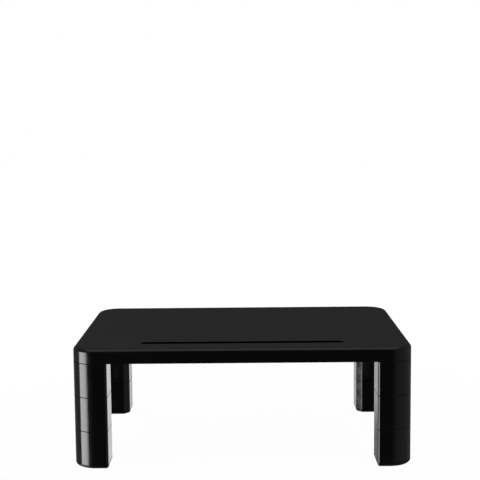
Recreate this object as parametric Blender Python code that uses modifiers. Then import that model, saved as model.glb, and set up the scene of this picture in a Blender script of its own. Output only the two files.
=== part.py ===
"""Monitor riser: a ribbed platform on four legs, each a stack of three plug-in sections and a foot.

Metres, +Z up. The origin is on the desk, under the middle of the platform. -Y is the user's side.
"""

import math

import bmesh
import bpy
from mathutils import Vector

# Platform
WIDTH = 0.370
DEPTH = 0.235
HEIGHT = 0.132
CORNER_RADIUS = 0.025
RIM_HEIGHT = 0.0155
RIM_WALL = 0.0025
TOP_THICKNESS = 0.0025
TOP_EDGE_RADIUS = 0.0043

# Legs
LEVELS = ("lower", "middle", "upper")
LEG_SIZE = 0.039
LEG_CHAMFER = 0.0065
SECTION_WALL = 0.0025
SEAM_GAP = 0.0003
SPIGOT_HEIGHT = 0.012
SPIGOT_WALL = 0.0018
SPIGOT_CLEARANCE = 0.0003

# Feet, and the rubber pad let into the underside of each
FOOT_HEIGHT = 0.004
FOOT_EDGE_RADIUS = 0.0025
FOOT_PLUG_HEIGHT = 0.010
PAD_INSET = 0.006
PAD_HEIGHT = 0.0018
PAD_PROUD = 0.0007

# Slot for a phone or a tablet, and the trough under it
SLOT_LENGTH = 0.224
SLOT_WIDTH = 0.010
SLOT_FROM_FRONT = 0.0325
SLOT_DEPTH = 0.0117
TROUGH_WALL = 0.002

# Stiffening ribs under the platform
RIB_THICKNESS = 0.0018
RIB_CELLS_LONG = 11
RIB_CELLS_DEEP = 7
RIB_HEIGHT = 0.005

# How far a joined shape reaches into its neighbour, or a cutter past the wall that it cuts
OVERLAP = 0.001

# Points nearer than this are one point
WELD_DISTANCE = 0.00001

ARC_STEPS = 8
SLOT_ARC_STEPS = 4
TOP_EDGE_STEPS = 3
FOOT_EDGE_STEPS = 2
SMOOTH_ANGLE = math.radians(35)
FLAT_ANGLE = math.radians(0.1)

RIM_BOTTOM = HEIGHT - RIM_HEIGHT
CEILING = HEIGHT - TOP_THICKNESS
RIB_BOTTOM = CEILING - RIB_HEIGHT
SECTION_PITCH = (RIM_BOTTOM - FOOT_HEIGHT) / len(LEVELS)
SECTION_HEIGHT = SECTION_PITCH - SEAM_GAP
SPIGOT_INSET = SECTION_WALL + SPIGOT_CLEARANCE
SLOT_Y = -DEPTH / 2 + SLOT_FROM_FRONT
SLOT_FLOOR = HEIGHT - SLOT_DEPTH
LEG_X = (WIDTH - LEG_SIZE) / 2
LEG_Y = (DEPTH - LEG_SIZE) / 2

# Name, side in X, side in Y, and the turn that points a leg's outer corner at the platform's
CORNERS = (
    ("back_right", 1, 1, 0),
    ("back_left", -1, 1, 90),
    ("front_left", -1, -1, 180),
    ("front_right", 1, -1, 270),
)


# ---------------------------------------------------------------- scene and materials

def clear_scene():
    for obj in list(bpy.data.objects):
        bpy.data.objects.remove(obj)


def new_collection(name, parent=None):
    collection = bpy.data.collections.new(name)
    parent = parent or bpy.context.scene.collection
    parent.children.link(collection)
    return collection


def plastic(name, colour, roughness):
    material = bpy.data.materials.new(name)
    material.use_nodes = True
    shader = material.node_tree.nodes["Principled BSDF"]
    shader.inputs["Base Color"].default_value = (*colour, 1.0)
    shader.inputs["Roughness"].default_value = roughness
    shader.inputs["Metallic"].default_value = 0.0
    return material


# ---------------------------------------------------------------- outlines

def arc(centre, radius, start, end, steps):
    """Points on an arc from one angle to another, in degrees, both ends included."""
    angles = [math.radians(start + (end - start) * i / steps) for i in range(steps + 1)]
    return [(centre[0] + radius * math.cos(a), centre[1] + radius * math.sin(a)) for a in angles]


def rounded_rectangle(length, width, radius, steps=ARC_STEPS, centre=(0.0, 0.0)):
    x = length / 2 - radius
    y = width / 2 - radius
    points = []
    for side_x, side_y, start in ((1, 1, 0), (-1, 1, 90), (-1, -1, 180), (1, -1, 270)):
        corner = (centre[0] + side_x * x, centre[1] + side_y * y)
        points += arc(corner, radius, start, start + 90, steps)
    return points


def leg_outline(inset):
    """A leg's outline about (0, 0), drawn in by inset. Its big round corner is at +X +Y.

    The opposite corner, which faces the middle of the platform, is cut off at 45 degrees.
    """
    half = LEG_SIZE / 2 - inset
    radius = CORNER_RADIUS - inset
    cut = -LEG_SIZE / 2 + LEG_CHAMFER + inset * (math.sqrt(2) - 1)
    points = arc((half - radius, half - radius), radius, 0, 90, ARC_STEPS)
    points += [(-half, half), (-half, cut), (cut, -half), (half, -half)]
    return points


# ---------------------------------------------------------------- solids

def prism(name, outline, low, high, collection):
    """A solid of that outline between two heights."""
    curve = bpy.data.curves.new(name, "CURVE")
    curve.dimensions = "2D"
    curve.fill_mode = "BOTH"
    curve.extrude = (high - low) / 2
    spline = curve.splines.new("POLY")
    spline.points.add(len(outline) - 1)
    for point, (x, y) in zip(spline.points, outline):
        point.co = (x, y, 0.0, 1.0)
    spline.use_cyclic_u = True
    drawn = bpy.data.objects.new(name, curve)
    drawn.location.z = (low + high) / 2
    collection.objects.link(drawn)
    solid = as_mesh(drawn, collection)
    merge_flat_faces(solid.data)
    bpy.data.objects.remove(drawn)
    return solid


def as_mesh(source, collection):
    """A mesh object made from source as it is evaluated, welded, with its normals out."""
    bpy.context.view_layer.update()
    graph = bpy.context.evaluated_depsgraph_get()
    mesh = bpy.data.meshes.new_from_object(source.evaluated_get(graph))
    shape = bmesh.new()
    shape.from_mesh(mesh)
    bmesh.ops.remove_doubles(shape, verts=shape.verts, dist=WELD_DISTANCE)
    bmesh.ops.recalc_face_normals(shape, faces=shape.faces)
    shape.to_mesh(mesh)
    shape.free()
    solid = bpy.data.objects.new(source.name + "_solid", mesh)
    solid.matrix_world = source.matrix_world
    collection.objects.link(solid)
    return solid


def merge_flat_faces(mesh):
    """Makes each flat end one face, so that only its outline is left to bevel."""
    shape = bmesh.new()
    shape.from_mesh(mesh)
    bmesh.ops.dissolve_limit(shape, angle_limit=FLAT_ANGLE, verts=shape.verts, edges=shape.edges)
    shape.to_mesh(mesh)
    shape.free()


def block(name, low, high, collection):
    """A box between two corners."""
    mesh = bpy.data.meshes.new(name)
    shape = bmesh.new()
    bmesh.ops.create_cube(shape, size=1.0)
    size = Vector(high) - Vector(low)
    bmesh.ops.scale(shape, vec=size, verts=shape.verts)
    shape.to_mesh(mesh)
    shape.free()
    box = bpy.data.objects.new(name, mesh)
    box.location = (Vector(low) + Vector(high)) / 2
    collection.objects.link(box)
    return box


def combine(target, operation, other):
    """Adds a Boolean with one object, or with every object of a collection."""
    modifier = target.modifiers.new(operation.lower() + "_" + other.name, "BOOLEAN")
    modifier.operation = operation
    modifier.solver = "EXACT"
    if isinstance(other, bpy.types.Collection):
        modifier.operand_type = "COLLECTION"
        modifier.collection = other
    else:
        modifier.object = other


def round_level_edges(target, height, radius, segments):
    """Rounds the edges of target that lie at one height of its own mesh."""
    mesh = target.data
    weights = mesh.attributes.new("bevel_weight_edge", "FLOAT", "EDGE")
    for edge in mesh.edges:
        level = all(abs(mesh.vertices[v].co.z - height) < WELD_DISTANCE for v in edge.vertices)
        weights.data[edge.index].value = 1.0 if level else 0.0
    modifier = target.modifiers.new("round_edges", "BEVEL")
    modifier.limit_method = "WEIGHT"
    modifier.width = radius
    modifier.segments = segments


def finished(name, source, material, collection):
    """The final mesh object of a shape, smooth shaded, from a source that carries the modifiers."""
    solid = as_mesh(source, collection)
    solid.name = name
    solid.data.name = name
    solid.data.materials.clear()
    solid.data.materials.append(material)
    solid.data.shade_smooth()
    solid.data.set_sharp_from_angle(angle=SMOOTH_ANGLE)
    return solid


# ---------------------------------------------------------------- the platform

def rib_lines(span, cells):
    """The places of the ribs that divide a span into equal cells."""
    return [span * (i / cells - 0.5) for i in range(1, cells)]


def make_ribs(helpers):
    """The ribs as two collections of bars, along X and along Y, longer than they end up."""
    along = new_collection("ribs_along", helpers)
    across = new_collection("ribs_across", helpers)
    half = RIB_THICKNESS / 2
    low = RIB_BOTTOM
    high = CEILING + OVERLAP
    for i, y in enumerate(rib_lines(DEPTH, RIB_CELLS_DEEP)):
        block(f"rib_along_{i}", (-WIDTH / 2, y - half, low), (WIDTH / 2, y + half, high), along)
    for i, x in enumerate(rib_lines(WIDTH, RIB_CELLS_LONG)):
        block(f"rib_across_{i}", (x - half, -DEPTH / 2, low), (x + half, DEPTH / 2, high), across)
    return along, across


def make_corner_prisms(name, inset, low, high, helpers):
    """A prism of the leg's outline at each corner of the platform, as a collection."""
    prisms = new_collection(name, helpers)
    for corner, side_x, side_y, turn in CORNERS:
        shape = prism(f"{name}_{corner}", leg_outline(inset), low, high, prisms)
        shape.location.x = side_x * LEG_X
        shape.location.y = side_y * LEG_Y
        shape.rotation_euler.z = math.radians(turn)
    return prisms


def slot_outline(grow):
    """The slot's outline, with round ends that leave two points more than a weld apart."""
    width = SLOT_WIDTH + 2 * grow
    radius = width / 2 - WELD_DISTANCE
    return rounded_rectangle(SLOT_LENGTH + 2 * grow, width, radius, SLOT_ARC_STEPS, (0.0, SLOT_Y))


def make_hollow(helpers):
    """The space under the platform: all inside the rim but ribs, sockets and the slot's trough."""
    inside = rounded_rectangle(WIDTH - 2 * RIM_WALL, DEPTH - 2 * RIM_WALL, CORNER_RADIUS - RIM_WALL)
    hollow = prism("hollow", inside, RIM_BOTTOM - OVERLAP, CEILING, helpers)
    ribs_along, ribs_across = make_ribs(helpers)
    kept_top = CEILING + OVERLAP
    sockets = make_corner_prisms("socket", 0.0, RIM_BOTTOM - 2 * OVERLAP, kept_top, helpers)
    trough = prism("trough", slot_outline(TROUGH_WALL), SLOT_FLOOR - TROUGH_WALL, kept_top, helpers)
    for kept in (ribs_along, ribs_across, sockets, trough):
        combine(hollow, "DIFFERENCE", kept)
    return hollow


def make_platform(material, parts, helpers):
    """One moulding: a ribbed tray, upside down, with a socket in each corner and a trough for the slot."""
    outline = rounded_rectangle(WIDTH, DEPTH, CORNER_RADIUS)
    slab = prism("slab", outline, RIM_BOTTOM, HEIGHT, helpers)
    round_level_edges(slab, RIM_HEIGHT / 2, TOP_EDGE_RADIUS, TOP_EDGE_STEPS)
    hollow = make_hollow(helpers)
    pockets = make_corner_prisms("pocket", SECTION_WALL, RIM_BOTTOM - OVERLAP, CEILING, helpers)
    slot = prism("slot", slot_outline(0.0), SLOT_FLOOR, HEIGHT + OVERLAP, helpers)
    for cutter in (hollow, pockets, slot):
        combine(slab, "DIFFERENCE", cutter)
    return finished("platform", slab, material, parts)


# ---------------------------------------------------------------- the legs

def leg_block(inset, low, high):
    """A leg-shaped block as a bmesh, with its bottom and top faces."""
    shape = bmesh.new()
    outline = leg_outline(inset)
    bottom = shape.faces.new([shape.verts.new((x, y, low)) for x, y in reversed(outline)])
    top = shape.faces.new([shape.verts.new((x, y, high)) for x, y in outline])
    edges = list(bottom.edges) + list(top.edges)
    bmesh.ops.bridge_loops(shape, edges=edges)
    return shape, bottom, top


def push(shape, face, inset, distance):
    """Draws a flat end face in, moves what is inside along Z, and returns that new end."""
    bmesh.ops.inset_region(shape, faces=[face], thickness=inset, use_even_offset=True)
    made = bmesh.ops.extrude_face_region(shape, geom=[face])["geom"]
    end = next(item for item in made if isinstance(item, bmesh.types.BMFace))
    bmesh.ops.translate(shape, vec=(0.0, 0.0, distance), verts=end.verts)
    bmesh.ops.delete(shape, geom=[face], context="FACES_ONLY")
    return end


def pattern_object(name, shape, material, helpers):
    """A leg piece in its own frame, which the four corners then share."""
    bmesh.ops.recalc_face_normals(shape, faces=shape.faces)
    mesh = bpy.data.meshes.new(name)
    shape.to_mesh(mesh)
    shape.free()
    mesh.materials.append(material)
    mesh.shade_smooth()
    mesh.set_sharp_from_angle(angle=SMOOTH_ANGLE)
    pattern = bpy.data.objects.new(name, mesh)
    helpers.objects.link(pattern)
    return pattern


def make_section(material, helpers):
    """A leg section, open below and with a hollow spigot on top. Its bottom is at Z = 0."""
    shape, bottom, top = leg_block(0.0, 0.0, SECTION_HEIGHT)
    push(shape, top, SPIGOT_INSET, SPIGOT_HEIGHT)
    ceiling = push(shape, bottom, SECTION_WALL, SECTION_HEIGHT - SECTION_WALL)
    bore_inset = SPIGOT_INSET + SPIGOT_WALL
    push(shape, ceiling, bore_inset - SECTION_WALL, SPIGOT_HEIGHT + SECTION_WALL - SPIGOT_WALL)
    return pattern_object("section", shape, material, helpers)


def make_foot(material, helpers):
    """A cap with a round lower edge, a recess for its pad and a hollow plug on top.

    Z = 0 is the desk, which the pad stands on.
    """
    shape, bottom, top = leg_block(0.0, PAD_PROUD, FOOT_HEIGHT - SEAM_GAP)
    plug_end = push(shape, top, SPIGOT_INSET, FOOT_PLUG_HEIGHT)
    push(shape, plug_end, SPIGOT_WALL, -FOOT_PLUG_HEIGHT)
    recess_depth = PAD_HEIGHT + SEAM_GAP - PAD_PROUD
    lower_edges = list(bottom.edges)
    push(shape, bottom, PAD_INSET - SEAM_GAP, recess_depth)
    bmesh.ops.bevel(shape, geom=lower_edges, offset=FOOT_EDGE_RADIUS, segments=FOOT_EDGE_STEPS,
                    profile=0.5, affect="EDGES")
    return pattern_object("foot", shape, material, helpers)


def make_pad(material, helpers):
    """A rubber pad of the leg's shape. It stands on Z = 0."""
    shape, _, _ = leg_block(PAD_INSET, 0.0, PAD_HEIGHT)
    return pattern_object("pad", shape, material, helpers)


def place(name, pattern, corner, height, parts):
    """A copy of a leg piece at one corner. Its origin is on the line that it slides along."""
    _, side_x, side_y, turn = corner
    piece = bpy.data.objects.new(name, pattern.data)
    piece.location = (side_x * LEG_X, side_y * LEG_Y, height)
    piece.rotation_euler.z = math.radians(turn)
    parts.objects.link(piece)
    return piece


def make_legs(patterns, parts):
    for corner in CORNERS:
        place(corner[0] + "_pad", patterns["pad"], corner, 0.0, parts)
        place(corner[0] + "_foot", patterns["foot"], corner, 0.0, parts)
        for count, level in enumerate(LEVELS):
            height = FOOT_HEIGHT + count * SECTION_PITCH
            place(f"{corner[0]}_{level}_section", patterns["section"], corner, height, parts)


def main():
    clear_scene()
    parts = new_collection("monitor_riser")
    helpers = new_collection("cutters_and_guides")
    platform_plastic = plastic("platform_plastic", (0.012, 0.012, 0.013), 0.45)
    leg_plastic = plastic("leg_plastic", (0.006, 0.006, 0.006), 0.18)
    foot_plastic = plastic("foot_plastic", (0.008, 0.008, 0.008), 0.35)
    pad_rubber = plastic("pad_rubber", (0.02, 0.02, 0.02), 0.8)
    make_platform(platform_plastic, parts, helpers)
    patterns = {
        "section": make_section(leg_plastic, helpers),
        "foot": make_foot(foot_plastic, helpers),
        "pad": make_pad(pad_rubber, helpers),
    }
    make_legs(patterns, parts)
    for pattern in patterns.values():
        bpy.data.objects.remove(pattern)
    for helper in helpers.all_objects:
        helper.hide_render = True
        helper.display_type = "WIRE"


main()
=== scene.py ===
"""The looks of a monitor riser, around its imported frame: metres, +Z up, -Y is the user's side."""

import math

import bmesh
import bpy
from mathutils import Matrix, Vector


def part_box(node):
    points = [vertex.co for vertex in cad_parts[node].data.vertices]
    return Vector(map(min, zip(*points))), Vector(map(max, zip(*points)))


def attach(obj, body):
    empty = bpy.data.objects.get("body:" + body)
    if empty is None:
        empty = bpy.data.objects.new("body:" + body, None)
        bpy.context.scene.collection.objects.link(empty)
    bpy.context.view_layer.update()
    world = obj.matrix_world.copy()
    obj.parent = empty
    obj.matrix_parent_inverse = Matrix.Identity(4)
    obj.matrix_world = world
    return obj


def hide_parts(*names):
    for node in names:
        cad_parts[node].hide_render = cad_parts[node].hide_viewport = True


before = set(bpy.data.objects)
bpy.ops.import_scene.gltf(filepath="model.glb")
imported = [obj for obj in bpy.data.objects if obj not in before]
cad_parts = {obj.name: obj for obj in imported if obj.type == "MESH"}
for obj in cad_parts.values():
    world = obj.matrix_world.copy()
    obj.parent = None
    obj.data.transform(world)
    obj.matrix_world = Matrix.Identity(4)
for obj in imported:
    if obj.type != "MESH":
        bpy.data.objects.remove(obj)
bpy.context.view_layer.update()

# A corner's name, which side of the middle it is on along X and Y, and its turn about Z in degrees
CORNERS = (
    ("back_right", 1, 1, 0),
    ("back_left", -1, 1, 90),
    ("front_left", -1, -1, 180),
    ("front_right", 1, -1, 270),
)
LEVELS = ("lower", "middle", "upper")

# Sizes read from the frame
PLATFORM_LOW, PLATFORM_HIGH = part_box("platform")
SECTION_LOW, SECTION_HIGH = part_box("front_left_lower_section")
NEXT_LOW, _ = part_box("front_left_middle_section")
FOOT_LOW, FOOT_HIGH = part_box("front_left_foot")
_, PAD_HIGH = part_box("front_left_pad")
WIDTH = PLATFORM_HIGH.x - PLATFORM_LOW.x
DEPTH = PLATFORM_HIGH.y - PLATFORM_LOW.y
TOP = PLATFORM_HIGH.z
RIM_BOTTOM = PLATFORM_LOW.z
LEG_SIZE = SECTION_HIGH.x - SECTION_LOW.x
SECTION_PITCH = NEXT_LOW.z - SECTION_LOW.z
FOOT_HEIGHT = SECTION_LOW.z

# Sizes that the frame doesn't hold as a box
CORNER_RADIUS = 0.025
TOP_EDGE_RADIUS = 0.0043
RIM_WALL = 0.0025
TOP_THICKNESS = 0.0025
LEG_CHAMFER = 0.0065
LEG_CORNER_RADIUS = 0.003
CHAMFER_FILLET = 0.0012
SEAM_GAP = 0.0003
SECTION_WALL = 0.0025
SPIGOT_CLEARANCE = 0.0003
SPIGOT_WALL = 0.0018
SPIGOT_LEAD_IN = 0.001
EDGE_BREAK = 0.0004
FOOT_EDGE_RADIUS = 0.0025
PAD_INSET = 0.006
SLOT_LENGTH = 0.224
SLOT_WIDTH = 0.010
SLOT_FROM_FRONT = 0.0325
SLOT_DEPTH = 0.0117
SLOT_EDGE_RADIUS = 0.0005
SLOT_END_ROUNDNESS = 0.499
TROUGH_WALL = 0.002
RIB_THICKNESS = 0.0018
RIB_CELLS_LONG = 11
RIB_CELLS_DEEP = 7
RIB_HEIGHT = 0.005
OVERLAP = 0.001
FLAT_WITHIN = 0.00004

ARC_STEPS = 24
ROUNDING_STEPS = 6
FILLET_STEPS = 4
SMOOTH_ANGLE = math.radians(35)
FLAT_FACE_WEIGHT = 100

SECTION_HEIGHT = SECTION_PITCH - SEAM_GAP
SPIGOT_TOP = SECTION_HIGH.z - SECTION_LOW.z
SPIGOT_INSET = SECTION_WALL + SPIGOT_CLEARANCE
BORE_INSET = SPIGOT_INSET + SPIGOT_WALL
SLOT_Y = -DEPTH / 2 + SLOT_FROM_FRONT
CEILING = TOP - TOP_THICKNESS
LEG_X = (WIDTH - LEG_SIZE) / 2
LEG_Y = (DEPTH - LEG_SIZE) / 2


# ---------------------------------------------------------------- outlines and profiles

def arc(centre, radius, start, end, steps):
    """Points on an arc from one angle to another, in degrees, both ends included."""
    angles = [math.radians(start + (end - start) * i / steps) for i in range(steps + 1)]
    return [(centre[0] + radius * math.cos(a), centre[1] + radius * math.sin(a)) for a in angles]


def rounded_rectangle(length, width, radius, steps, centre=(0.0, 0.0)):
    x = length / 2 - radius
    y = width / 2 - radius
    points = []
    for _, side_x, side_y, start in CORNERS:
        corner = (centre[0] + side_x * x, centre[1] + side_y * y)
        points += arc(corner, radius, start, start + 90, steps)
    return points


def platform_outline(inset):
    return rounded_rectangle(WIDTH - 2 * inset, DEPTH - 2 * inset, CORNER_RADIUS - inset, ARC_STEPS)


def slot_outline(inset):
    """The slot's outline. Its ends are a hair short of half circles, so that no two points meet."""
    length = SLOT_LENGTH - 2 * inset
    width = SLOT_WIDTH - 2 * inset
    radius = width * SLOT_END_ROUNDNESS
    return rounded_rectangle(length, width, radius, ROUNDING_STEPS, (0.0, SLOT_Y))


def leg_outline(inset):
    """A leg's outline about (0, 0), drawn in by inset. Its big round corner is at +X +Y.

    The opposite corner, which faces the middle of the platform, is cut off at 45 degrees.
    """
    half = LEG_SIZE / 2 - inset
    big = CORNER_RADIUS - inset
    small = max(LEG_CORNER_RADIUS - inset, EDGE_BREAK)
    fillet = max(CHAMFER_FILLET - inset, EDGE_BREAK)
    half_slant = math.sqrt(2) - 1
    cut_off = -LEG_SIZE / 2 + LEG_CHAMFER + (inset + fillet) * half_slant
    points = arc((half - big, half - big), big, 0, 90, ARC_STEPS)
    points += arc((-half + small, half - small), small, 90, 180, FILLET_STEPS)
    points += arc((-half + fillet, cut_off), fillet, 180, 225, FILLET_STEPS)
    points += arc((cut_off, -half + fillet), fillet, 225, 270, FILLET_STEPS)
    points += arc((half - small, -half + small), small, 270, 360, FILLET_STEPS)
    return points


def pad_outline(inset):
    return leg_outline(PAD_INSET + inset)


# ---------------------------------------------------------------- solids

def new_object(name, shape):
    """An object in the scene, made from a bmesh shape, which is used up."""
    mesh = bpy.data.meshes.new(name)
    shape.to_mesh(mesh)
    shape.free()
    piece = bpy.data.objects.new(name, mesh)
    bpy.context.scene.collection.objects.link(piece)
    return piece


def loft(name, outline, profile):
    """A closed solid: the outline at each (inset, height) of the profile, capped at both ends."""
    shape = bmesh.new()
    rings = []
    for inset, height in profile:
        rings.append([shape.verts.new((x, y, height)) for x, y in outline(inset)])
    count = len(rings[0])
    for lower, upper in zip(rings, rings[1:]):
        for i in range(count):
            j = (i + 1) % count
            shape.faces.new((lower[i], lower[j], upper[j], upper[i]))
    shape.faces.new(rings[0])
    shape.faces.new(rings[-1])
    bmesh.ops.recalc_face_normals(shape, faces=shape.faces)
    return new_object(name, shape)


def block(name, low, high):
    """A box between two corners, used only to cut or to fill."""
    shape = bmesh.new()
    bmesh.ops.create_cube(shape, size=1.0)
    bmesh.ops.scale(shape, vec=Vector(high) - Vector(low), verts=shape.verts)
    bmesh.ops.translate(shape, vec=(Vector(low) + Vector(high)) / 2, verts=shape.verts)
    return new_object(name, shape)


def cut(target, tools):
    """Takes the tools out of target for good, and removes them."""
    guides = bpy.data.collections.new("guides")
    for tool in tools:
        bpy.context.scene.collection.objects.unlink(tool)
        guides.objects.link(tool)
    bpy.context.scene.collection.children.link(guides)
    modifier = target.modifiers.new("cut", "BOOLEAN")
    modifier.operation = "DIFFERENCE"
    modifier.solver = "EXACT"
    modifier.operand_type = "COLLECTION"
    modifier.collection = guides
    apply_modifiers(target)
    for tool in tools:
        bpy.data.objects.remove(tool)
    bpy.data.collections.remove(guides)


def apply_modifiers(target):
    bpy.context.view_layer.update()
    graph = bpy.context.evaluated_depsgraph_get()
    mesh = bpy.data.meshes.new_from_object(target.evaluated_get(graph))
    target.modifiers.clear()
    target.data = mesh


def shade(piece):
    """Smooth shading that keeps flat faces flat and edges sharp."""
    piece.data.shade_smooth()
    piece.data.set_sharp_from_angle(angle=SMOOTH_ANGLE)
    modifier = piece.modifiers.new("flat_faces_lead", "WEIGHTED_NORMAL")
    modifier.mode = "FACE_AREA"
    modifier.weight = FLAT_FACE_WEIGHT
    modifier.keep_sharp = True
    apply_modifiers(piece)


# ---------------------------------------------------------------- materials

# A scale is about how many grains, clouds or waves fit in a metre. A depth is in metres.
TOP_DARK = (0.047, 0.047, 0.048)
TOP_LIGHT = (0.067, 0.067, 0.068)
TOP_ROUGHNESS = (0.46, 0.54)
TOP_SPECULAR = 0.35
TOP_GRAIN_SCALE = 1900.0
TOP_GRAIN_DEPTH = 0.00006
TOP_GRAIN_STRENGTH = 0.8
TOP_CLOUD_SCALE = 14.0

GLOSS_COLOUR = (0.0007, 0.0007, 0.0008)
GLOSS_SPECULAR = 0.85
GLOSS_HAZE_SCALE = 60.0
GLOSS_HAZE_BELOW = 0.03
GLOSS_HAZE_ABOVE = 0.05
GLOSS_WAVE_SCALE = 45.0
GLOSS_WAVE_DEPTH = 0.0001
GLOSS_WAVE_STRENGTH = 0.2
GLOSS_PEEL_SCALE = 900.0
GLOSS_PEEL_DEPTH = 0.000002
GLOSS_PEEL_STRENGTH = 0.4

PLATFORM_ROUGHNESS = 0.17
LEG_ROUGHNESS = 0.12
FOOT_ROUGHNESS = 0.3

RUBBER_DARK = (0.014, 0.014, 0.014)
RUBBER_LIGHT = (0.026, 0.026, 0.025)
RUBBER_ROUGHNESS = (0.72, 0.88)
RUBBER_SPECULAR = 0.5
RUBBER_GRAIN_SCALE = 1400.0
RUBBER_GRAIN_DEPTH = 0.00005
RUBBER_GRAIN_STRENGTH = 0.7

# Most of a noise's values lie between these two.
NOISE_LOW = 0.3
NOISE_HIGH = 0.7

NOISE_ROUGHNESS = 0.5
SOFT_DETAIL = 1.0
GRAIN_DETAIL = 2.0
CLOUD_DETAIL = 3.0
HAZE_DETAIL = 4.0


def map_range(tree, source, start, end, low, high, smooth=False):
    """A node that takes start to low and end to high, and holds there. It gives back its output."""
    node = tree.nodes.new("ShaderNodeMapRange")
    if smooth:
        node.interpolation_type = "SMOOTHSTEP"
    node.inputs["From Min"].default_value = start
    node.inputs["From Max"].default_value = end
    node.inputs["To Min"].default_value = low
    node.inputs["To Max"].default_value = high
    tree.links.new(source, node.inputs["Value"])
    return node.outputs["Result"]


class Nodes:
    """A material with a Principled shader, and short calls for the nodes that feed it."""

    def __init__(self, name, colour, roughness, specular):
        self.material = bpy.data.materials.new(name)
        self.material.use_nodes = True
        self.tree = self.material.node_tree
        self.shader = self.tree.nodes["Principled BSDF"]
        self.shader.inputs["Base Color"].default_value = (*colour, 1.0)
        self.shader.inputs["Roughness"].default_value = roughness
        self.shader.inputs["Specular IOR Level"].default_value = specular
        self.place = self.tree.nodes.new("ShaderNodeTexCoord").outputs["Object"]

    def noise(self, scale, detail):
        node = self.tree.nodes.new("ShaderNodeTexNoise")
        node.inputs["Scale"].default_value = scale
        node.inputs["Detail"].default_value = detail
        node.inputs["Roughness"].default_value = NOISE_ROUGHNESS
        self.tree.links.new(self.place, node.inputs["Vector"])
        return node.outputs["Fac"]

    def spread(self, noise, low, high):
        """Stretches a noise over the range from low to high."""
        return map_range(self.tree, noise, NOISE_LOW, NOISE_HIGH, low, high)

    def bump(self, source, depth, strength, under=None):
        node = self.tree.nodes.new("ShaderNodeBump")
        node.inputs["Strength"].default_value = strength
        node.inputs["Distance"].default_value = depth
        self.tree.links.new(source, node.inputs["Height"])
        if under is not None:
            self.tree.links.new(under, node.inputs["Normal"])
        return node.outputs["Normal"]

    def shades(self, noise, dark, light):
        """A colour that goes from dark to light with a noise."""
        node = self.tree.nodes.new("ShaderNodeMix")
        node.data_type = "RGBA"
        node.inputs["A"].default_value = (*dark, 1.0)
        node.inputs["B"].default_value = (*light, 1.0)
        self.tree.links.new(self.spread(noise, 0.0, 1.0), node.inputs["Factor"])
        return node.outputs["Result"]

    def feed(self, socket, source):
        self.tree.links.new(source, self.shader.inputs[socket])


def textured_top():
    """The platform's top: black plastic with a fine spark-eroded grain."""
    nodes = Nodes("black_plastic_fine_grain", TOP_DARK, TOP_ROUGHNESS[0], TOP_SPECULAR)
    grain = nodes.noise(TOP_GRAIN_SCALE, GRAIN_DETAIL)
    cloud = nodes.noise(TOP_CLOUD_SCALE, CLOUD_DETAIL)
    nodes.feed("Base Color", nodes.shades(grain, TOP_DARK, TOP_LIGHT))
    nodes.feed("Roughness", nodes.spread(cloud, *TOP_ROUGHNESS))
    nodes.feed("Normal", nodes.bump(grain, TOP_GRAIN_DEPTH, TOP_GRAIN_STRENGTH))
    return nodes.material


def gloss_black(name, roughness):
    """Black plastic from a polished mould: faint waviness, faint haze, no grain."""
    nodes = Nodes(name, GLOSS_COLOUR, roughness, GLOSS_SPECULAR)
    haze = nodes.noise(GLOSS_HAZE_SCALE, HAZE_DETAIL)
    wave = nodes.noise(GLOSS_WAVE_SCALE, SOFT_DETAIL)
    peel = nodes.noise(GLOSS_PEEL_SCALE, SOFT_DETAIL)
    low = roughness - GLOSS_HAZE_BELOW
    high = roughness + GLOSS_HAZE_ABOVE
    nodes.feed("Roughness", nodes.spread(haze, low, high))
    waves = nodes.bump(wave, GLOSS_WAVE_DEPTH, GLOSS_WAVE_STRENGTH)
    nodes.feed("Normal", nodes.bump(peel, GLOSS_PEEL_DEPTH, GLOSS_PEEL_STRENGTH, under=waves))
    return nodes.material


def matt_rubber():
    nodes = Nodes("matt_black_rubber", RUBBER_DARK, RUBBER_ROUGHNESS[0], RUBBER_SPECULAR)
    grain = nodes.noise(RUBBER_GRAIN_SCALE, GRAIN_DETAIL)
    nodes.feed("Base Color", nodes.shades(grain, RUBBER_DARK, RUBBER_LIGHT))
    nodes.feed("Roughness", nodes.spread(grain, *RUBBER_ROUGHNESS))
    nodes.feed("Normal", nodes.bump(grain, RUBBER_GRAIN_DEPTH, RUBBER_GRAIN_STRENGTH))
    return nodes.material


# ---------------------------------------------------------------- the platform

def rib_lines(span, cells):
    """The places of the ribs that divide a span into equal cells."""
    return [span * (i / cells - 0.5) for i in range(1, cells)]


def make_ribs():
    half = RIB_THICKNESS / 2
    side = WIDTH / 2
    back = DEPTH / 2
    low = CEILING - RIB_HEIGHT
    high = CEILING + OVERLAP
    ribs = []
    for i, y in enumerate(rib_lines(DEPTH, RIB_CELLS_DEEP)):
        ribs.append(block(f"rib_along_{i}", (-side, y - half, low), (side, y + half, high)))
    for i, x in enumerate(rib_lines(WIDTH, RIB_CELLS_LONG)):
        ribs.append(block(f"rib_across_{i}", (x - half, -back, low), (x + half, back, high)))
    return ribs


def at_corners(name, inset, low, high):
    """A plain prism of the leg's outline at each corner of the platform."""
    shapes = []
    for corner, side_x, side_y, turn in CORNERS:
        shape = loft(f"{name}_{corner}", leg_outline, ((inset, low), (inset, high)))
        shape.location = (side_x * LEG_X, side_y * LEG_Y, 0.0)
        shape.rotation_euler.z = math.radians(turn)
        shapes.append(shape)
    return shapes


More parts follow.
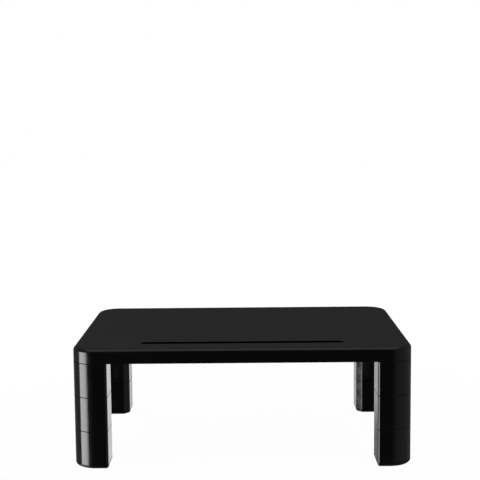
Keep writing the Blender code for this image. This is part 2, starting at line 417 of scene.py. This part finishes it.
def make_hollow():
    """The space under the platform: all inside the rim but ribs, sockets and the slot's trough."""
    inside = ((RIM_WALL, RIM_BOTTOM - OVERLAP), (RIM_WALL, CEILING))
    hollow = loft("hollow", platform_outline, inside)
    trough_low = TOP - SLOT_DEPTH - TROUGH_WALL
    trough = ((-TROUGH_WALL, trough_low), (-TROUGH_WALL, CEILING + OVERLAP))
    kept = make_ribs()
    kept += at_corners("socket", 0.0, RIM_BOTTOM - 2 * OVERLAP, CEILING + OVERLAP)
    kept.append(loft("trough", slot_outline, trough))
    cut(hollow, kept)
    return hollow


def make_slot_cutter():
    """The slot, with a mouth that flares into the top in a small round."""
    centre = TOP - SLOT_EDGE_RADIUS
    profile = [(0.0, TOP - SLOT_DEPTH), (0.0, centre)]
    for i in range(1, FILLET_STEPS + 1):
        angle = math.radians(90 * i / FILLET_STEPS)
        flare = SLOT_EDGE_RADIUS * (1 - math.cos(angle))
        profile.append((-flare, centre + SLOT_EDGE_RADIUS * math.sin(angle)))
    profile.append((-SLOT_EDGE_RADIUS, TOP + OVERLAP))
    return loft("slot", slot_outline, profile)


def make_platform(gloss, textured):
    """The moulding. Its flat top has the textured finish, and everything else is gloss."""
    bottom_edge = (EDGE_BREAK, RIM_BOTTOM + EDGE_BREAK)
    top_edge = (TOP_EDGE_RADIUS, TOP - TOP_EDGE_RADIUS)
    profile = arc(bottom_edge, EDGE_BREAK, 270, 180, FILLET_STEPS)
    profile += arc(top_edge, TOP_EDGE_RADIUS, 180, 90, ROUNDING_STEPS)
    platform = loft("platform_moulding", platform_outline, profile)
    tools = [make_hollow(), make_slot_cutter()]
    tools += at_corners("pocket", SECTION_WALL, RIM_BOTTOM - OVERLAP, CEILING)
    cut(platform, tools)
    platform.data.materials.clear()
    platform.data.materials.append(gloss)
    platform.data.materials.append(textured)
    vertices = platform.data.vertices
    for face in platform.data.polygons:
        on_top = all(vertices[v].co.z > TOP - FLAT_WITHIN for v in face.vertices)
        face.material_index = 1 if on_top else 0
    shade(platform)
    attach(platform, "platform")
    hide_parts("platform")


# ---------------------------------------------------------------- the legs

# A profile is a list of (inset, height) points. On its arcs, 180 degrees is outwards and 90 is up.

def section_profile():
    """From inside the spigot's end, down the inside, round the lower lip, and up the outside."""
    socket_ceiling = SECTION_HEIGHT - SECTION_WALL
    profile = [(BORE_INSET, SPIGOT_TOP - SPIGOT_WALL), (BORE_INSET, socket_ceiling)]
    profile += [(SECTION_WALL, socket_ceiling), (SECTION_WALL, EDGE_BREAK)]
    profile.append((SECTION_WALL - EDGE_BREAK, 0.0))
    profile += arc((EDGE_BREAK, EDGE_BREAK), EDGE_BREAK, 270, 180, FILLET_STEPS)
    profile += arc((EDGE_BREAK, SECTION_HEIGHT - EDGE_BREAK), EDGE_BREAK, 180, 90, FILLET_STEPS)
    profile.append((SPIGOT_INSET, SECTION_HEIGHT))
    end = (SPIGOT_INSET + SPIGOT_LEAD_IN, SPIGOT_TOP - SPIGOT_LEAD_IN)
    profile += arc(end, SPIGOT_LEAD_IN, 180, 90, FILLET_STEPS)
    return profile


def foot_profile():
    """From the bottom of the hollow plug, over its end, round the foot, into the pad's recess."""
    top = FOOT_HEIGHT - SEAM_GAP
    plug_top = FOOT_HIGH.z
    profile = [(BORE_INSET, top), (BORE_INSET, plug_top - EDGE_BREAK)]
    profile += [(BORE_INSET - EDGE_BREAK, plug_top), (SPIGOT_INSET + EDGE_BREAK, plug_top)]
    profile += [(SPIGOT_INSET, plug_top - EDGE_BREAK), (SPIGOT_INSET, top)]
    profile += arc((EDGE_BREAK, top - EDGE_BREAK), EDGE_BREAK, 90, 180, FILLET_STEPS)
    ground_edge = (FOOT_EDGE_RADIUS, FOOT_LOW.z + FOOT_EDGE_RADIUS)
    profile += arc(ground_edge, FOOT_EDGE_RADIUS, 180, 270, ROUNDING_STEPS)
    recess = PAD_INSET - SEAM_GAP
    profile += [(recess, FOOT_LOW.z), (recess, PAD_HIGH.z + SEAM_GAP)]
    return profile


def pad_profile():
    profile = arc((EDGE_BREAK, EDGE_BREAK), EDGE_BREAK, 270, 180, FILLET_STEPS)
    profile += arc((EDGE_BREAK, PAD_HIGH.z - EDGE_BREAK), EDGE_BREAK, 180, 90, FILLET_STEPS)
    return profile


def place(piece, corner, height, material):
    """Puts a leg piece at its corner of the platform and gives it its finish."""
    _, side_x, side_y, turn = corner
    piece.data.materials.append(material)
    shade(piece)
    piece.location = (side_x * LEG_X, side_y * LEG_Y, height)
    piece.rotation_euler.z = math.radians(turn)


def stand_for(piece, node, body):
    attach(piece, body)
    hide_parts(node)


def make_leg(corner, leg_material, foot_material, pad_material):
    """One corner's leg: three sections, a foot and its pad."""
    name = corner[0]
    for i, level in enumerate(LEVELS):
        section = loft(f"{name}_{level}_shell", leg_outline, section_profile())
        place(section, corner, FOOT_HEIGHT + i * SECTION_PITCH, leg_material)
        stand_for(section, f"{name}_{level}_section", f"{name}_{level}_leg")
    foot = loft(f"{name}_foot_shell", leg_outline, foot_profile())
    place(foot, corner, 0.0, foot_material)
    stand_for(foot, f"{name}_foot", f"{name}_foot_cap")
    pad = loft(f"{name}_rubber_pad", pad_outline, pad_profile())
    place(pad, corner, 0.0, pad_material)
    stand_for(pad, f"{name}_pad", f"{name}_foot_cap")


# ---------------------------------------------------------------- the studio

CAMERA_PLACE = (0.0033, -1.1376, 0.3770)
CAMERA_YAW = -0.0041
CAMERA_PITCH = 0.0995
CAMERA_ROLL = -0.0092
CAMERA_LENS_MM = 72.81
CAMERA_SENSOR_MM = 36.0
CAMERA_SHIFT = -0.05
CAMERA_REACH = 50.0

# The floor glows less near the object, where it takes the shadow, and more further out.
FLOOR_SIZE = 12.0
FLOOR_WHITENESS = 0.9
FLOOR_GLOW_NEAR = 0.7
FLOOR_GLOW_FAR = 1.1
FLOOR_NEAR = 0.3
FLOOR_FAR = 0.8
FLOOR_VEIL = 0.07

# The room grows brighter towards both sides. The limits are the X of a direction, either way.
ROOM_DIM = 0.055
ROOM_SIDES = 0.14
ROOM_DIM_UNTIL = 0.1
ROOM_SIDES_FROM = 0.9

# Straight in front it is dimmer. The limits are the Y of a direction, which is -1 in front.
ROOM_FRONT_SHARE = 0.4
ROOM_FRONT_FULL = -1.0
ROOM_FRONT_ENDS = -0.8

# A softbox: its name, its place, the point that it faces, its width and height, and its radiance
LEFT_SOFTBOX = ("left_softbox", (-1.43, -0.72, -0.19), (-0.17, -0.10, -0.19), (1.16, 1.3), 4.8)
BACK_RIGHT_CARD = ("back_right_card", (0.3, 1.5, -0.45), (0.3, 0.0, -0.45), (0.58, 0.75), 1.15)
BACK_LEFT_CARD = ("back_left_card", (-0.3, 1.5, -0.45), (-0.3, 0.0, -0.45), (0.58, 0.75), 0.65)
OVERHEAD_SOFTBOX = ("overhead_softbox", (0.0, 0.0, 1.6), (0.0, 0.0, TOP / 2), (2.0, 2.0), 0.35)

# A fade: the side that it runs along, its start and end there, and the share of light left
LEFT_FADE = ("X", 0.65, 1.0, 0.35)
BACK_LEFT_FADE = ("Y", 0.6, 0.42, 0.25)

WHITE = (1.0, 1.0, 1.0, 1.0)


def make_camera():
    """The camera stands in front, a little above the platform, and looks slightly down."""
    data = bpy.data.cameras.new("camera")
    data.sensor_width = CAMERA_SENSOR_MM
    data.lens = CAMERA_LENS_MM
    data.shift_y = CAMERA_SHIFT
    data.clip_end = CAMERA_REACH
    camera = bpy.data.objects.new("camera", data)
    bpy.context.scene.collection.objects.link(camera)
    ahead = Vector((
        math.sin(CAMERA_YAW) * math.cos(CAMERA_PITCH),
        math.cos(CAMERA_YAW) * math.cos(CAMERA_PITCH),
        -math.sin(CAMERA_PITCH),
    ))
    level = ahead.cross(Vector((0.0, 0.0, 1.0))).normalized()
    up = level.cross(ahead)
    right = math.cos(CAMERA_ROLL) * level + math.sin(CAMERA_ROLL) * up
    up = right.cross(ahead)
    turn = Matrix((right, up, -ahead)).transposed().to_quaternion()
    camera.matrix_world = Matrix.LocRotScale(Vector(CAMERA_PLACE), turn, None)
    bpy.context.scene.camera = camera


def make_softbox(name, place, target, size, radiance):
    """A rectangular light that points at its target. The camera doesn't see it."""
    width, height = size
    data = bpy.data.lights.new(name, "AREA")
    data.shape = "RECTANGLE"
    data.size = width
    data.size_y = height
    data.energy = radiance * math.pi * width * height
    light = bpy.data.objects.new(name, data)
    bpy.context.scene.collection.objects.link(light)
    light.location = place
    facing = Vector(target) - Vector(place)
    light.rotation_euler = facing.to_track_quat("-Z", "Y").to_euler()
    light.visible_camera = False
    return light


def fade(light, axis, start, end, dim):
    """Dims a softbox across its face, from full at start to dim at end.

    Start and end are shares of that side. X runs along its width, away from the back of the
    studio, and Y up its height.
    """
    light.data.use_nodes = True
    tree = light.data.node_tree
    across = tree.nodes.new("ShaderNodeNewGeometry")
    axes = tree.nodes.new("ShaderNodeSeparateXYZ")
    tree.links.new(across.outputs["Parametric"], axes.inputs["Vector"])
    share = map_range(tree, axes.outputs[axis], start, end, 1.0, dim, smooth=True)
    tree.links.new(share, tree.nodes["Emission"].inputs["Strength"])


def make_floor():
    """A pale floor like a thin white veil, so that legs that are pulled down through it still show.

    It takes a faint shadow. Gloss doesn't mirror it, and light passes through it, so the softboxes
    may reach below it.
    """
    shape = bmesh.new()
    bmesh.ops.create_grid(shape, x_segments=1, y_segments=1, size=FLOOR_SIZE / 2)
    floor = new_object("floor", shape)
    floor.visible_glossy = False
    floor.visible_shadow = False
    material = bpy.data.materials.new("pale_floor")
    material.use_nodes = True
    tree = material.node_tree
    paper = tree.nodes["Principled BSDF"]
    paper.inputs["Base Color"].default_value = (*[FLOOR_WHITENESS] * 3, 1.0)
    paper.inputs["Roughness"].default_value = 1.0
    paper.inputs["Specular IOR Level"].default_value = 0.0
    paper.inputs["Emission Color"].default_value = WHITE
    position = tree.nodes.new("ShaderNodeTexCoord").outputs["Object"]
    distance = tree.nodes.new("ShaderNodeVectorMath")
    distance.operation = "LENGTH"
    tree.links.new(position, distance.inputs["Vector"])
    glow = map_range(
        tree, distance.outputs["Value"], FLOOR_NEAR, FLOOR_FAR, FLOOR_GLOW_NEAR, FLOOR_GLOW_FAR)
    tree.links.new(glow, paper.inputs["Emission Strength"])
    clear = tree.nodes.new("ShaderNodeBsdfTransparent")
    veil = tree.nodes.new("ShaderNodeMixShader")
    veil.inputs["Fac"].default_value = FLOOR_VEIL
    tree.links.new(clear.outputs["BSDF"], veil.inputs[1])
    tree.links.new(paper.outputs["BSDF"], veil.inputs[2])
    tree.links.new(veil.outputs["Shader"], tree.nodes["Material Output"].inputs["Surface"])
    floor.data.materials.append(material)


def make_world():
    """White to look at. As a light it is a dim room, brighter at the sides and dimmer in front."""
    world = bpy.data.worlds.new("studio")
    bpy.context.scene.world = world
    world.use_nodes = True
    tree = world.node_tree
    seen = tree.nodes["Background"]
    seen.inputs["Color"].default_value = WHITE
    seen.inputs["Strength"].default_value = 1.0
    room = tree.nodes.new("ShaderNodeBackground")
    room.inputs["Color"].default_value = WHITE
    direction = tree.nodes.new("ShaderNodeTexCoord")
    axes = tree.nodes.new("ShaderNodeSeparateXYZ")
    tree.links.new(direction.outputs["Generated"], axes.inputs["Vector"])
    sideways = tree.nodes.new("ShaderNodeMath")
    sideways.operation = "ABSOLUTE"
    tree.links.new(axes.outputs["X"], sideways.inputs[0])
    brightness = map_range(
        tree, sideways.outputs["Value"], ROOM_DIM_UNTIL, ROOM_SIDES_FROM, ROOM_DIM, ROOM_SIDES,
        smooth=True)
    front = map_range(
        tree, axes.outputs["Y"], ROOM_FRONT_FULL, ROOM_FRONT_ENDS, ROOM_FRONT_SHARE, 1.0)
    strength = tree.nodes.new("ShaderNodeMath")
    strength.operation = "MULTIPLY"
    tree.links.new(brightness, strength.inputs[0])
    tree.links.new(front, strength.inputs[1])
    tree.links.new(strength.outputs["Value"], room.inputs["Strength"])
    paths = tree.nodes.new("ShaderNodeLightPath")
    mix = tree.nodes.new("ShaderNodeMixShader")
    tree.links.new(paths.outputs["Is Camera Ray"], mix.inputs["Fac"])
    tree.links.new(room.outputs["Background"], mix.inputs[1])
    tree.links.new(seen.outputs["Background"], mix.inputs[2])
    tree.links.new(mix.outputs["Shader"], tree.nodes["World Output"].inputs["Surface"])


def make_lights():
    """A bright softbox at the left, two pale cards behind, and a dim softbox overhead."""
    left = make_softbox(*LEFT_SOFTBOX)
    fade(left, *LEFT_FADE)
    make_softbox(*BACK_RIGHT_CARD)
    back_left = make_softbox(*BACK_LEFT_CARD)
    fade(back_left, *BACK_LEFT_FADE)
    make_softbox(*OVERHEAD_SOFTBOX)


# ---------------------------------------------------------------- everything

def main():
    bpy.context.scene.view_settings.view_transform = "Standard"
    platform_gloss = gloss_black("gloss_black_platform", PLATFORM_ROUGHNESS)
    leg_gloss = gloss_black("gloss_black_leg", LEG_ROUGHNESS)
    foot_satin = gloss_black("satin_black_foot", FOOT_ROUGHNESS)
    rubber = matt_rubber()
    make_platform(platform_gloss, textured_top())
    for corner in CORNERS:
        make_leg(corner, leg_gloss, foot_satin, rubber)
    make_floor()
    make_world()
    make_lights()
    make_camera()


main()
